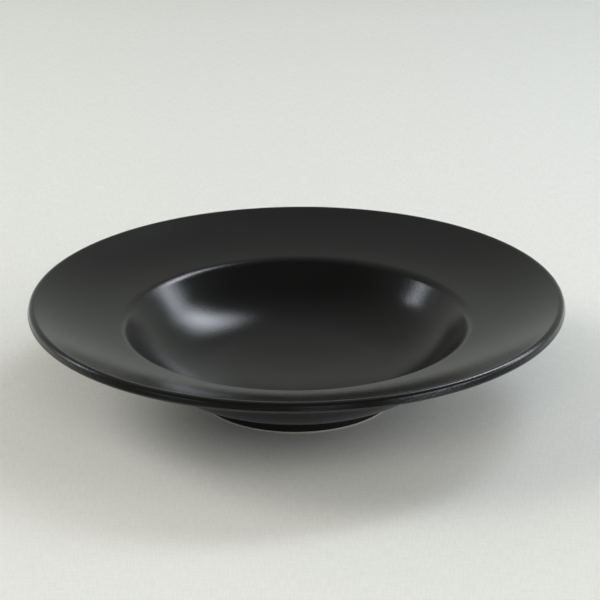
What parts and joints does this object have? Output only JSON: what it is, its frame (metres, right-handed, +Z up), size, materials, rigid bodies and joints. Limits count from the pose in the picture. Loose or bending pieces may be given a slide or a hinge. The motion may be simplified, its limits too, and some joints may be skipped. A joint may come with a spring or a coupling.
{
  "type": "pasta bowl",
  "caption": "Round pasta bowl with a wide dished rim, a rounded lip, a deep well and a low foot ring, satin black glaze over stoneware.",
  "frame": {"origin": "middle of the base, on the surface that the foot ring stands on", "axes": "+Z up along the bowl's axis, out of the well; the bowl is round, so +X and +Y are free"},
  "size_m": [0.28, 0.28, 0.056],
  "materials": {
    "bare_stoneware": "matte",
    "black_glaze": "satin"
  },
  "bodies": {
    "root": {"stoneware_body": "bare_stoneware", "glaze_coat": "black_glaze", "foot_recess_glaze": "black_glaze"}
  },
  "joints": []
}
